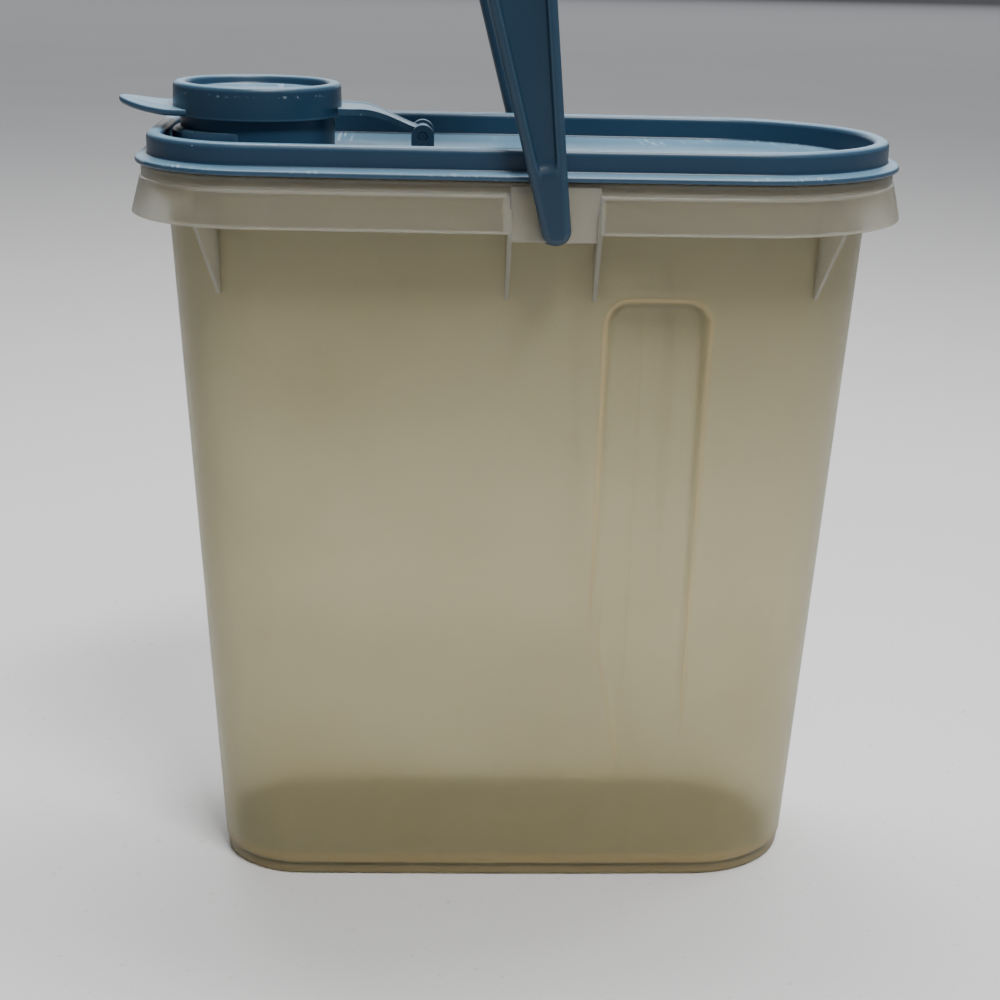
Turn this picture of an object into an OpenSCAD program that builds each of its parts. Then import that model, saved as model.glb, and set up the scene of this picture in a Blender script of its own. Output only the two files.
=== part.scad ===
// Pour-spout dry food dispenser: a tapered container with a flared rim skirt and two
// hollows for the hand, a press-on lid with a round spout, a flip cap and a swing handle.
// Origin: middle of the container's base. +X runs to the plain end, -X to the spout, +Z up.

/* [Lid] */
// Length over the lid's flange
flange_l = 240; // [180:1:320]
// Width over the lid's flange at mid length
flange_w = 115; // [104:1:140]
// How far the long sides bow outward
bow = 3; // [0:0.5:5]
// Corner radius of the flange at the plain end
flange_rr = 52; // [36:1:56]
// Corner radius of the flange at the spout end
flange_rl = 35; // [24:1:46]
// Flange thickness
flange_t = 1.5; // [1:0.1:3]
// How far the flange stands out past the ring
flange_out = 3.6; // [2:0.1:6]
// Width of the raised ring across its top
ring_w = 4.8; // [4.4:0.1:8]
// Wall thickness of the ring
ring_t = 1.3; // [1:0.1:1.6]
// Height of the ring above the flange's underside
ring_h = 9; // [7:0.5:14]
// Thickness of the lid's floor
floor_t = 1.6; // [1.2:0.1:3]
// Depth of the seal lip below the lid's floor
seal_h = 2.5; // [1:0.1:5]
// Gap between the lid and the rim it sits on
lid_gap = 0.3; // [0.3:0.05:0.6]

/* [Container] */
// Height of the rim above the table
rim_z = 243; // [180:1:330]
// How far each end of the base sits in from the body's top
taper_l = 13.6; // [4:0.5:20]
// How far each wide side of the base sits in from the body's top
taper_w = 8.5; // [3:0.5:14]
// Corner radius of the base at the plain end
base_rr = 35; // [20:1:38]
// Corner radius of the base at the spout end
base_rl = 27; // [18:1:36]
// How far the ends of the body sit in from the rim above
body_in_l = 4; // [2:0.1:9]
// How far the wide sides of the body sit in from the rim above
body_in_w = 5.3; // [2:0.1:9]
// Corner radius of the body's top at the plain end
body_rr = 44; // [30:1:46]
// Corner radius of the body's top at the spout end
body_rl = 32; // [20:1:40]
// Wall thickness
wall_t = 1.9; // [1.2:0.1:3]
// Floor thickness of the container
base_t = 2.4; // [1.6:0.1:4]
// Height of the stepped foot band
foot_h = 4.4; // [2:0.2:8]
// How far the foot band is set in
foot_in = 0.7; // [0.3:0.1:1.5]

/* [Skirt] */
// Height of the skirt from its lower edge to its shoulder
skirt_h = 15; // [10:0.1:18]
// How far the skirt's lower edge stands out past the flange
skirt_out = 1.5; // [0.5:0.1:2]
// How far the neck band is set in from the flange's edge
neck_in = 1.7; // [1:0.1:2.5]
// Height of the neck band
neck_h = 4; // [2:0.1:6]
// Skirt thickness
skirt_t = 1.1; // [0.8:0.1:2]
// Depth of the rib and fin tails below the skirt
tail_h = 22; // [12:1:30]
// Thickness of the ribs and fins
rib_t = 1.4; // [1:0.1:2.5]

/* [Hand hollow] */
// Distance of the hollow's middle from the container's middle
hollow_x = 40.8; // [36:0.5:48]
// Width of the hollow
hollow_w = 33; // [26:0.5:38]
// Height of the hollow's top above the table
hollow_top = 199; // [150:1:206]
// Height where the hollow fades into the wall
hollow_low = 26; // [14:1:60]
// Depth of the hollow at its top
hollow_d = 5.4; // [3:0.2:7]
// Width of the hollow's sloped border
hollow_step = 3.6; // [2:0.2:6]
// Radius of the hollow's top corners
hollow_r = 8; // [4:0.5:12]

/* [Spout] */
// Distance from the flange's end to the spout collar
spout_in = 11.7; // [11:0.1:30]
// Bore radius of the spout
spout_r = 21.7; // [15:0.1:22]
// Wall thickness of the spout collar
collar_t = 2.6; // [1.6:0.1:3]
// Height of the collar's top above the ring's top
collar_up = 8.4; // [4:0.1:9]
// How far the pour lip reaches past the collar
lip_out = 2.6; // [1:0.1:5]

/* [Cap] */
// Wall thickness of the cap
cap_t = 1.7; // [1.2:0.1:3]
// Gap between the cap's wall and the collar
cap_gap = 0.6; // [0.4:0.05:1]
// Height of the cap's top above the collar's top
cap_up = 5.2; // [3:0.1:8]
// Depth of the dish in the cap's top
dish_d = 2.8; // [1:0.1:3.5]
// Height of the cap's outside wall
cap_h = 10.1; // [6:0.1:12]
// Depth of the plug below the collar's top
plug_h = 7.2; // [3:0.1:9]
// How far the thumb tab reaches past the cap's wall
tab_out = 16.9; // [8:0.1:18]
// Half width of the thumb tab
tab_hw = 17; // [10:0.5:20]
// Thickness of the thumb tab and the hinge arm
tab_t = 2; // [1.4:0.1:3]
// Upward tilt of the thumb tab in degrees
tab_tilt = 5; // [0:0.5:8]

/* [Cap hinge] */
// Distance from the cap's wall to the hinge axis
hinge_out = 25.6; // [20:0.1:32]
// Height of the hinge axis above the lid's floor
hinge_up = 5.6; // [4.2:0.1:6.2]
// Radius of the hinge ears
ear_r = 3.6; // [3:0.1:4.4]
// Thickness of each hinge ear
ear_t = 2.6; // [1.8:0.1:4]
// Half width of the hinge arm between the ears
arm_end_hw = 6.2; // [4:0.1:9]
// Half width of the hinge arm where it joins the cap
arm_cap_hw = 13.5; // [10:0.1:16]
// Hinge pin radius
hinge_pin_r = 1.4; // [1:0.05:1.8]
// Side gap between the hinge arm and each ear
ear_gap = 0.5; // [0.3:0.05:1]

/* [Handle] */
// Distance of the handle's pivot from the container's middle, to the plain end
pivot_x = 7.3; // [0:0.1:20]
// Depth of the pivot below the rim
pivot_down = 21; // [19:0.1:22]
// Pivot pin radius
pivot_r = 2.5; // [1.5:0.1:3]
// Running gap around both kinds of pin
pin_gap = 0.06; // [0.02:0.01:0.1]
// Radius of the button head that holds the pin
button_r = 5.6; // [4:0.1:6]
// Gap between the skirt's end and the grip when the handle lies level
handle_clear = 13.8; // [9:0.1:16]
// Thickness of the handle across its ribs
handle_t = 4.2; // [3:0.1:6]
// Radius of the rounded lower end of each arm
arm_end_r = 4.3; // [3.5:0.1:5]
// Half width of the grip
grip_hw = 12.5; // [8:0.5:16]
// Outside corner radius between arm and grip
bend_r = 24; // [10:1:40]
// Width of the edge ribs
edge_w = 3.4; // [2:0.1:4]
// Thickness of the web between the edge ribs
web_t = 1.4; // [1:0.1:2]
// Lean of the handle towards the spout as it stands, in degrees
lean = 10; // [0:1:20]

/* [Hidden] */
eps = 0.02;
arc_n = 12;
side_n = 6;
hl = flange_l / 2;
hw = flange_w / 2;
rr = min(flange_rr, hw - bow - 1);
rl = min(flange_rl, hw - bow - 1);
lid_bot = rim_z - (ring_h - ring_t) + lid_gap;
lid_top = lid_bot + ring_h;
tray_z = lid_bot + floor_t;
rim_in = flange_out + ring_t + lid_gap;
rim_t = ring_w - 2 * ring_t - 2 * lid_gap;
shoulder_z = lid_bot - lid_gap;
skirt_z = shoulder_z - skirt_h;
neck_z = shoulder_z - neck_h;
web_z = shoulder_z - flange_t;
flare_z = skirt_z;
flare_top = neck_z - 1.5;
pivot_z = rim_z - pivot_down;
body_hl = hl - rim_in - body_in_l;
body_hw = hw - rim_in - body_in_w;
body_bow = 2;
base_hl = body_hl - taper_l;
base_hw = body_hw - taper_w;
base_bow = 1;
skirt_y = hw + skirt_out;
handle_reach = hl + skirt_out - pivot_x + handle_clear;
pad_out = hw - 1;
pad_t = 1.8;
pad_low = pivot_z - pivot_r - 1.8;
notch_hw = 13.35;
arm_in = skirt_y + 0.7;
arm_out = arm_in + handle_t;
collar_z = lid_top + collar_up;
cap_z = collar_z + cap_up;
cap_low = cap_z - cap_h;
cup_in = spout_r + collar_t + cap_gap;
cup_r = cup_in + cap_t;
spout_x = hl - spout_in - spout_r - collar_t;
tab_reach = cup_r + tab_out;
hinge_x = cup_r + hinge_out - spout_x;
hinge_z = tray_z + hinge_up;
ear_in = arm_end_hw + ear_gap;
blue = [0.26, 0.38, 0.48];
natural = [0.74, 0.71, 0.58];

// Rounded-rectangle outline with its own corner radius at each end and bowed long sides.
function arc_pts(cx, cy, r, a0) = [
    for (i = [0 : arc_n])
        let (a = a0 + 90 * i / arc_n)
        [cx + r * cos(a), cy + r * sin(a)]
];
function side_pts(x0, x1, y) = [
    for (i = [1 : side_n])
        [x0 + (x1 - x0) * i / (side_n + 1), y]
];
function plain(l, w, rr, rl) = concat(
    arc_pts(l - rr, w - rr, rr, 0),
    side_pts(l - rr, rl - l, w),
    arc_pts(rl - l, w - rl, rl, 90),
    arc_pts(rl - l, rl - w, rl, 180),
    side_pts(rl - l, l - rr, -w),
    arc_pts(l - rr, rr - w, rr, 270)
);
function bowed(p, l, w, b) = [
    for (q = p)
        [q[0], q[1] * (1 + b / w * (1 - pow(q[0] / l, 2)))]
];
function outline(l, w, b, rr, rl) = bowed(plain(l, w - b, rr, rl), l, w - b, b);
function fit_r(r, w, b) = min(r, w - b - 0.5);
function lid_line(d) = outline(hl - d, hw - d, bow, rr - d, rl - d);
function base_line(d) = outline(
    base_hl - d, base_hw - d, base_bow,
    fit_r(base_rr, base_hw, base_bow) - d, fit_r(base_rl, base_hw, base_bow) - d);
function body_line(d) = outline(
    body_hl - d, body_hw - d, body_bow,
    fit_r(body_rr, body_hw, body_bow) - d, fit_r(body_rl, body_hw, body_bow) - d);

// Solid through a stack of outlines, each given as [height, points].
module loft(levels) {
    n = len(levels[0][1]);
    m = len(levels);
    pts = [for (lv = levels) for (p = lv[1]) [p[0], p[1], lv[0]]];
    bottom = [[for (i = [0 : n - 1]) i]];
    top = [[for (i = [n - 1 : -1 : 0]) (m - 1) * n + i]];
    sides = [
        for (k = [0 : m - 2])
            for (i = [0 : n - 1])
                let (a = k * n + i, b = k * n + (i + 1) % n)
                for (t = [[a, a + n, b + n], [a, b + n, b]])
                    t
    ];
    polyhedron(points = pts, faces = concat(bottom, sides, top), convexity = 6);
}

// Flat ring between two outlines.
module band(d_out, d_in, z0, z1) {
    translate([0, 0, z0])
        linear_extrude(z1 - z0)
            difference() {
                polygon(lid_line(d_out));
                polygon(lid_line(d_in));
            }
}

// Copies a thing to both wide sides.
module both_sides() {
    children();
    mirror([0, 1, 0])
        children();
}

// Round bar along Y between two distances from the middle, on the -Y side.
module y_bar(x, z, r, y0, y1) {
    translate([x, -y0, z])
        rotate([90, 0, 0])
            cylinder(r = r, h = y1 - y0, $fn = 64);
}

// Cutter for the hand hollow on the -Y side; grow makes the matching bump of the inside.
module hollow_cut(grow) {
    x0 = hollow_x - hollow_w / 2 - grow;
    x1 = hollow_x + hollow_w / 2 + grow;
    top = hollow_top + grow;
    shift = 2.4;
    y_top = body_hw - hollow_d - grow - 1.3;
    y_low = base_hw + 1.1 - grow;
    y_out = body_hw + 12;
    soft = 1.6;
    function section(s, y, z) = [
        [x1 - s, -y_out, z],
        [x1 - s, -y - hollow_d - grow, z],
        [x1 - s - hollow_step, -y, z],
        [x0 - s + 3.4 * hollow_step, -y, z],
        [x0 - s + hollow_step, -y - soft, z],
        [x0 - s, -y - hollow_d - grow, z],
        [x0 - s, -y_out, z]
    ];
    low = section(shift, y_low, 0);
    high = section(0, y_top, top + 4);
    n = len(low);
    sides = [
        for (i = [0 : n - 1])
            let (b = (i + 1) % n)
            for (t = [[i, i + n, b + n], [i, b + n, b]])
                t
    ];
    bottom = [[for (i = [0 : n - 1]) i]];
    lid = [[for (i = [n - 1 : -1 : 0]) n + i]];
    r = hollow_r + grow;
    intersection() {
        polyhedron(points = concat(low, high), faces = concat(bottom, sides, lid), convexity = 4);
        union() {
            translate([x0 - shift - 1, -y_out - 1, 0])
                cube([x1 - x0 + shift + 2, y_out, top - r]);
            translate([x0 + r, -y_out - 1, top - r - 1])
                cube([x1 - x0 - 2 * r, y_out, r + 1]);
            for (x = [x0 + r, x1 - r])
                translate([x, -1, top - r])
                    rotate([90, 0, 0])
                        cylinder(r = r, h = y_out, $fn = 48);
        }
    }
}

module side_gusset() {
    yb = body_hw - 1.1;
    rotate([90, 0, -90])
        linear_extrude(rib_t, center = true)
            polygon([
                [yb - 0.5, skirt_z - tail_h],
                [yb + 0.9, skirt_z - tail_h],
                [skirt_y - 0.1, skirt_z],
                [hw - neck_in - 0.1, neck_z],
                [hw - neck_in - 0.1, shoulder_z - 0.5],
                [yb, shoulder_z - 0.5]
            ]);
}

// Fin at a rounded corner, standing square to the wall.
module corner_fin(x, y, turn, reach) {
    translate([x, y, 0])
        rotate([0, 0, turn])
            rotate([90, 0, 0])
                linear_extrude(rib_t, center = true)
                    polygon([
                        [-1.2, skirt_z - tail_h],
                        [0, skirt_z - tail_h],
                        [reach, skirt_z + 0.6],
                        [reach - 3.2, neck_z],
                        [reach - 3.2, shoulder_z - 0.5],
                        [-1.2, shoulder_z - 0.5]
                    ]);
}

module container_outside() {
    difference() {
        loft([
            [0, base_line(foot_in + 1.2)],
            [1.2, base_line(foot_in)],
            [foot_h, base_line(foot_in)],
            [foot_h + foot_in, base_line(0)],
            [flare_z, body_line(0)],
            [flare_top, lid_line(rim_in)],
            [rim_z, lid_line(rim_in)]
        ]);
        both_sides()
            hollow_cut(0);
    }
}

module container_inside() {
    difference() {
        loft([
            [base_t, base_line(wall_t + 2)],
            [base_t + 2, base_line(wall_t)],
            [flare_z, body_line(wall_t)],
            [flare_top, lid_line(rim_in + rim_t)],
            [rim_z + 1, lid_line(rim_in + rim_t)]
        ]);
        both_sides()
            hollow_cut(wall_t);
    }
}

module skirt() {
    difference() {
        loft([
            [skirt_z, lid_line(-skirt_out)],
            [neck_z, lid_line(neck_in)],
            [shoulder_z, lid_line(neck_in)]
        ]);
        loft([
            [skirt_z - 1, lid_line(skirt_t - skirt_out - 0.3)],
            [neck_z - 0.5, lid_line(neck_in + skirt_t)],
            [web_z, lid_line(neck_in + skirt_t)]
        ]);
        both_sides()
            translate([pivot_x - notch_hw, -hw - 10, skirt_z - 5])
                cube([2 * notch_hw, 11, neck_z - 0.5 - skirt_z + 5]);
    }
}

module container() {
    overhang = skirt_y - body_hw;
    right_r = fit_r(body_rr, body_hw, body_bow);
    left_r = fit_r(body_rl, body_hw, body_bow);
    cr = right_r - 0.5;
    cl = left_r - 0.5;
    xr = body_hl - right_r;
    xl = left_r - body_hl;
    yr = body_hw - body_bow - right_r;
    yl = body_hw - body_bow - left_r;
    color(natural)
        difference() {
            union() {
                container_outside();
                skirt();
                both_sides() {
                    translate([pivot_x - notch_hw, -pad_out, pad_low])
                        cube([2 * notch_hw, pad_t, web_z + 0.5 - pad_low]);
                    for (s = [-1, 1])
                        translate([pivot_x + s * notch_hw, 0, 0])
                            side_gusset();
                    corner_fin(xr + cr * cos(-58), -yr + cr * sin(-58), -58, overhang - 0.2);
                    corner_fin(xl + cl * cos(-117), -yl + cl * sin(-117), -117, overhang + 1.3);
                }
            }
            container_inside();
            both_sides()
                y_bar(pivot_x, pivot_z, pivot_r + pin_gap, pad_out - pad_t - 1, pad_out + 1);
        }
}

module lid() {
    color(blue)
        difference() {
            union() {
                difference() {
                    union() {
                        band(0, rim_in, lid_bot, lid_bot + flange_t);
                        loft([
                            [lid_bot, lid_line(flange_out)],
                            [lid_top - 1, lid_line(flange_out)],
                            [lid_top - 0.3, lid_line(flange_out + 0.3)],
                            [lid_top, lid_line(flange_out + 1)]
                        ]);
                        band(flange_out + ring_w - ring_t, flange_out + ring_w,
                            lid_bot - seal_h, lid_bot + 0.5);
                    }
                    loft([
                        [tray_z, lid_line(flange_out + ring_w)],
                        [lid_top - 1, lid_line(flange_out + ring_w)],
                        [lid_top - 0.3, lid_line(flange_out + ring_w - 0.3)],
                        [lid_top + 0.1, lid_line(flange_out + ring_w - 1)]
                    ]);
                    band(flange_out + ring_t, flange_out + ring_w - ring_t,
                        lid_bot - 1, lid_top - ring_t);
                }
                translate([-spout_x, 0, lid_bot])
                    cylinder(r = spout_r + collar_t, h = collar_z - lid_bot, $fn = 96);
                translate([-spout_x - lip_out, 0, lid_bot])
                    cylinder(r = spout_r + collar_t, h = lid_top - lid_bot - 0.4, $fn = 96);
                both_sides() {
                    y_bar(hinge_x, hinge_z, ear_r, ear_in, ear_in + ear_t);
                    translate([hinge_x - ear_r, -ear_in - ear_t, tray_z - 0.5])
                        cube([2 * ear_r, ear_t, hinge_z - tray_z + 0.5]);
                }
            }
            translate([-spout_x, 0, lid_bot - 1])
                cylinder(r = spout_r, h = collar_z - lid_bot + 2, $fn = 96);
            both_sides()
                y_bar(hinge_x, hinge_z, hinge_pin_r + pin_gap, ear_in - 1, ear_in + ear_t + 1);
        }
}

module cap_round() {
    dish_r = cup_r - 4.3;
    web_low = collar_z + 0.4;
    plug_r = spout_r - 0.4;
    translate([-spout_x, 0, 0])
        rotate_extrude($fn = 96)
            polygon([
                [0, web_low],
                [plug_r - 2.0, web_low],
                [plug_r - 2.4, collar_z - plug_h],
                [plug_r - 1.1, collar_z - plug_h],
                [plug_r, web_low],
                [cup_in, web_low],
                [cup_in, cap_low],
                [cup_r, cap_low],
                [cup_r, cap_z - 1],
                [cup_r - 0.3, cap_z - 0.3],
                [cup_r - 1, cap_z],
                [dish_r + 1, cap_z],
                [dish_r + 0.3, cap_z - 0.3],
                [dish_r, cap_z - dish_d],
                [0, cap_z - dish_d]
            ]);
}

module thumb_tab() {
    ex = tab_reach - cup_r + 9;
    difference() {
        translate([-spout_x - cup_r, 0, cap_low - 0.2])
            rotate([0, tab_tilt, 0])
                translate([9, 0, 0])
                    linear_extrude(tab_t)
                        polygon([
                            for (i = [0 : 47])
                                [ex * cos(i * 7.5), tab_hw * sin(i * 7.5)]
                        ]);
        translate([-spout_x, 0, cap_low - 20])
            cylinder(r = cup_r - 0.5, h = 60, $fn = 96);
    }
}

module hinge_arm() {
    x0 = cup_r - spout_x - 1;
    zt = cap_low + 3.2;
    wide_x = hinge_x - 6.8;
    top = [
        [x0, zt],
        [x0 + 3, zt],
        [hinge_x - 19, zt - 0.3],
        [hinge_x - 12.7, zt - 1.7],
        [hinge_x - 6.5, hinge_z + 3],
        [hinge_x - 2, hinge_z + 2],
        [hinge_x, hinge_z + 1]
    ];
    low = [
        [hinge_x, hinge_z - 1],
        [hinge_x - 6.5, hinge_z + 0.9],
        [hinge_x - 12.7, zt - 1.7 - tab_t],
        [hinge_x - 19, zt - 0.3 - tab_t],
        [x0, zt - tab_t]
    ];
    intersection() {
        translate([0, 20, 0])
            rotate([90, 0, 0])
                linear_extrude(40)
                    polygon(concat(top, low));
        translate([0, 0, cap_low - 30])
            linear_extrude(60)
                polygon([
                    [x0 - 1, -arm_cap_hw],
                    [x0 + 3, -arm_cap_hw],
                    [wide_x, -arm_end_hw],
                    [hinge_x + 1, -arm_end_hw],
                    [hinge_x + 1, arm_end_hw],
                    [wide_x, arm_end_hw],
                    [x0 + 3, arm_cap_hw],
                    [x0 - 1, arm_cap_hw]
                ]);
    }
    y_bar(hinge_x, hinge_z, hinge_pin_r + 1.3, -arm_end_hw, arm_end_hw);
    y_bar(hinge_x, hinge_z, hinge_pin_r, -ear_in - ear_t + 0.1, ear_in + ear_t - 0.1);
}

module spout_cap() {
    color(blue) {
        cap_round();
        thumb_tab();
        difference() {
            hinge_arm();
            translate([-spout_x, 0, cap_low - 20])
                cylinder(r = cup_r - 0.5, h = 60, $fn = 96);
        }
    }
}

// Bridge shape across the arms, in the plane of the pivots: y across, x of the sketch up.
module bridge(y, z, r) {
    translate([-30, -y])
        square([z + 30 - r, 2 * y]);
    translate([z - r - 1, r - y])
        square([r + 1, 2 * (y - r)]);
    for (s = [-1, 1])
        translate([z - r, s * (y - r)])
            circle(r = r, $fn = 64);
}

// Spread outline of one arm, seen square to it: widens evenly up to the grip.
module arm_sheet(inset, z_low, z_high) {
    slope = 0.083;
    function half(z) = min(grip_hw, arm_end_r + slope * z) - inset;
    knee = min((grip_hw - arm_end_r) / slope, z_high - 1);
    polygon([
        [z_low, -half(z_low)],
        [knee, -half(knee)],
        [z_high, -half(z_high)],
        [z_high, half(z_high)],
        [knee, half(knee)],
        [z_low, half(z_low)]
    ]);
}

module upright_handle() {
    z_in = handle_reach;
    z_out = handle_reach + handle_t + 0.6;
    apex = 18;
    pocket_d = (handle_t - web_t) / 2;
    difference() {
        intersection() {
            rotate([0, -90, 0])
                linear_extrude(60, center = true)
                    difference() {
                        bridge(arm_out, z_out, bend_r);
                        bridge(arm_in, z_in, bend_r - handle_t);
                    }
            union() {
                translate([0, 80, 0])
                    rotate([90, 0, 0])
                        linear_extrude(160)
                            rotate(90)
                                arm_sheet(0, 0, z_out + 5);
                translate([0, 80, 0])
                    rotate([90, 0, 0])
                        cylinder(r = arm_end_r, h = 160, $fn = 64);
            }
        }
        // pockets that leave the two edge ribs and the web, on both faces of each arm
        for (y0 = [arm_out - pocket_d, arm_in - 1])
            both_sides()
                translate([0, -y0, 0])
                    rotate([90, 0, 0])
                        linear_extrude(pocket_d + 1)
                            rotate(90)
                                arm_sheet(edge_w, apex, z_in - bend_r);
        // channel under the grip
        translate([-grip_hw + edge_w, bend_r - arm_in, z_in - 1])
            cube([2 * (grip_hw - edge_w), 2 * (arm_in - bend_r), 1 + handle_t + 0.6 - 2]);
    }
    both_sides() {
        y_bar(0, 0, arm_end_r, pad_out + 0.4, arm_in + 1);
        y_bar(0, 0, pivot_r, pad_out - pad_t - 1, pad_out + 1);
        y_bar(0, 0, button_r, pad_out - pad_t - 2, pad_out - pad_t - 0.5);
    }
}

module handle() {
    color(blue)
        translate([pivot_x, 0, pivot_z])
            rotate([0, -lean, 0])
                upright_handle();
}

// Which piece to draw
container();
lid();
spout_cap();
handle();
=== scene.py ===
import math

import bmesh
import bpy
import numpy as np
from mathutils import Matrix, Vector


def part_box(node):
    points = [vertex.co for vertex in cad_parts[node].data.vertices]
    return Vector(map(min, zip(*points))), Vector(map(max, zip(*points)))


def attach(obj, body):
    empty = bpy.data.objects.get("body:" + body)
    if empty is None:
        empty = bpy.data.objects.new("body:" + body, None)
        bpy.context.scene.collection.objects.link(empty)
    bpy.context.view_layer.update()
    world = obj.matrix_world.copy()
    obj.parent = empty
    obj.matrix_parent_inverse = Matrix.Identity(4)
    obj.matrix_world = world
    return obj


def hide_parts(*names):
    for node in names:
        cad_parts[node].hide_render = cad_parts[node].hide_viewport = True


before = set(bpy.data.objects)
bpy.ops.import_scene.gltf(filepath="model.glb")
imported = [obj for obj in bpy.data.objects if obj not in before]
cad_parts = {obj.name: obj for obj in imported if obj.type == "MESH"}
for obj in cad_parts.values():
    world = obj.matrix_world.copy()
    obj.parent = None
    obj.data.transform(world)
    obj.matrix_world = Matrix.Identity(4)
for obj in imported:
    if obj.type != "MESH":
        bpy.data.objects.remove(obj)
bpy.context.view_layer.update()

# ---------------------------------------------------------------------------
# Container. A deep tapered box with round ends, injection moulded in a natural
# see-through plastic that has gone yellow with age. Its wall is one thin skin:
# stepped foot, two hollows for the hand, a short flare, and the upright rim.
# ---------------------------------------------------------------------------
MM = 0.001
_, container_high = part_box("container")
lid_low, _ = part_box("lid")
SKIRT_OUT = 1.5 * MM
FLANGE_HALF_L = container_high[0] - SKIRT_OUT
FLANGE_HALF_W = container_high[1] - SKIRT_OUT
FLANGE_BOW = 3 * MM
FLANGE_R_PLAIN = 52 * MM
FLANGE_R_SPOUT = 35 * MM
RIM_Z = container_high[2]
SEAL_DEPTH = 2.5 * MM
LID_Z = lid_low[2] + SEAL_DEPTH
RIM_INSET = 5.2 * MM
RIM_T = 1.6 * MM
WALL_T = 1.9 * MM
BASE_T = 2.4 * MM
FOOT_H = 4.4 * MM
FOOT_INSET = 0.7 * MM
SKIRT_Z = LID_Z - 15.3 * MM
FLARE_Z = LID_Z - 5.8 * MM
BASE = dict(half_l=97.2 * MM, half_w=38.5 * MM, bow=1 * MM, r_plain=35 * MM, r_spout=27 * MM)
NECK = dict(half_l=110.8 * MM, half_w=47 * MM, bow=2 * MM, r_plain=44 * MM, r_spout=32 * MM)
FLANGE = dict(half_l=FLANGE_HALF_L, half_w=FLANGE_HALF_W, bow=FLANGE_BOW,
              r_plain=FLANGE_R_PLAIN, r_spout=FLANGE_R_SPOUT)
HOLLOW_X = 40.8 * MM
HOLLOW_HALF_W = 16.5 * MM
HOLLOW_TOP = 199 * MM
HOLLOW_R = 8 * MM
HOLLOW_STEP = 3.6 * MM
HOLLOW_CREASE = 12.6 * MM
HOLLOW_LEAN = 2.4 * MM
HOLLOW_FLOOR_TOP = 40.3 * MM
HOLLOW_FLOOR_LOW = 39.6 * MM
HOLLOW_SLOPE = 1.6 * MM


def spread(start, stop, count):
    """Evenly spaced shares between two shares, without the last one."""
    return [start + (stop - start) * i / count for i in range(count)]


SIDE_EVEN = spread(0, 1, 30)
SIDE_FINE = spread(0, 0.024, 2) + spread(0.024, 0.325, 66) + spread(0.325, 1, 24)
CORNER_STEPS = 20


def outline(half_l, half_w, bow, r_plain, r_spout, inset=0.0, shares=SIDE_EVEN):
    """Closed outline of a round-cornered box with bowed long sides, anticlockwise from +X."""
    half_l, half_w = half_l - inset, half_w - inset - bow
    r_plain, r_spout = r_plain - inset, r_spout - inset
    x_plain, x_spout = half_l - r_plain, r_spout - half_l
    points = []
    corners = ((x_plain, half_w - r_plain, r_plain, 0), (x_spout, half_w - r_spout, r_spout, 90),
               (x_spout, r_spout - half_w, r_spout, 180), (x_plain, r_plain - half_w, r_plain, 270))
    for x, y, r, turn in corners:
        for i in range(CORNER_STEPS):
            a = math.radians(turn + 90 * i / CORNER_STEPS)
            points.append((x + r * math.cos(a), y + r * math.sin(a)))
        if turn == 0:
            points += [(x_plain + (x_spout - x_plain) * s, half_w) for s in shares]
        elif turn == 90:
            points.append((-half_l, half_w - r_spout))
        elif turn == 180:
            points += [(x_plain + (x_spout - x_plain) * s, -half_w) for s in [1.0] + shares[:0:-1]]
        else:
            points.append((half_l, r_plain - half_w))
    points = np.array(points)
    points[:, 1] *= 1 + bow / half_w * (1 - (points[:, 0] / half_l) ** 2)
    return points


def ring(points, z):
    """Outline points as a ring of 3D points at one height."""
    return np.column_stack([points, np.full(len(points), z)])


def skin_faces(rows, count, closed=True, loop=False):
    """Quads between rows of equal point counts; loop joins the last row to the first."""
    faces = []
    for k in range(rows if loop else rows - 1):
        a, b = k * count, ((k + 1) % rows) * count
        for i in range(count if closed else count - 1):
            j = (i + 1) % count
            faces.append((a + i, a + j, b + j, b + i))
    return faces


def smoothstep(value):
    value = np.clip(value, 0, 1)
    return value * value * (3 - 2 * value)


def press_hollow(points, grow):
    """Push the wide faces inward where a hand goes; grow follows the inside of the wall."""
    x, y, z = points.T
    u = x - (HOLLOW_X - HOLLOW_LEAN * (1 - z / HOLLOW_TOP))
    r = HOLLOW_R + grow
    side = HOLLOW_HALF_W + grow - np.abs(u)
    top = HOLLOW_TOP + grow - z
    corner = r - np.hypot(np.maximum(r - side, 0), np.maximum(r - top, 0))
    depth = np.where((side < r) & (top < r), corner, np.minimum(side, top))
    share = smoothstep(depth / HOLLOW_STEP)
    left = np.clip(1 - (u + HOLLOW_HALF_W - HOLLOW_STEP) / (HOLLOW_CREASE - HOLLOW_STEP), 0, 1)
    floor = HOLLOW_FLOOR_LOW + (HOLLOW_FLOOR_TOP - HOLLOW_FLOOR_LOW) * z / HOLLOW_TOP
    floor = floor + HOLLOW_SLOPE * left - grow
    press = share * np.maximum(np.abs(y) - floor, 0)
    return np.column_stack([x, y - np.sign(y) * press, z])


def wall_ring(z, inset, grow=0.0):
    """Ring of the tapered wall at one height, between the base outline and the neck outline."""
    low, high = FOOT_H + FOOT_INSET, SKIRT_Z
    share = (z - low) / (high - low)
    a = outline(inset=inset, shares=SIDE_FINE, **BASE)
    b = outline(inset=inset, shares=SIDE_FINE, **NECK)
    return press_hollow(ring(a + (b - a) * share, z), grow)


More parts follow.
